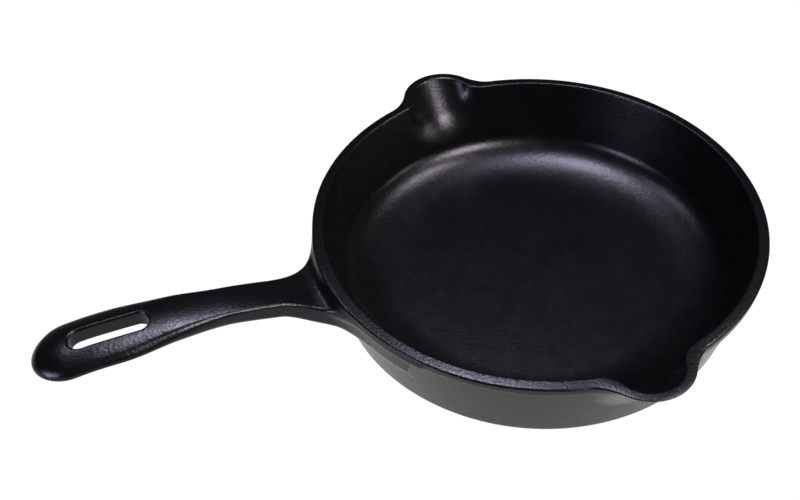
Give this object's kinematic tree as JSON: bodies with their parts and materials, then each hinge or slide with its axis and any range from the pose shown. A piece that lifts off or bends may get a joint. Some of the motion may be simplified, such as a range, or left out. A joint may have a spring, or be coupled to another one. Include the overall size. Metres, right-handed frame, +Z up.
{
  "type": "cast iron skillet",
  "caption": "Round cast iron skillet with two opposite pour spouts, a long flared handle and a slotted grip for hanging.",
  "frame": {"origin": "centre of the flat base, on the surface that the skillet stands on", "axes": "+Z up through the pan axis, handle along -X, pour spouts on +Y and -Y"},
  "size_m": [0.3313, 0.2342, 0.0508],
  "materials": {
    "seasoned_iron": "oil-seasoned, semi-matte black with a fine cast grain"
  },
  "bodies": {
    "root": {"pan_floor": "seasoned_iron", "pan_wall": "seasoned_iron", "rim_handle_side": "seasoned_iron", "rim_front": "seasoned_iron", "pour_spout_left": "seasoned_iron", "pour_spout_right": "seasoned_iron", "handle_root": "seasoned_iron", "handle_neck": "seasoned_iron", "handle_grip": "seasoned_iron"}
  },
  "joints": []
}
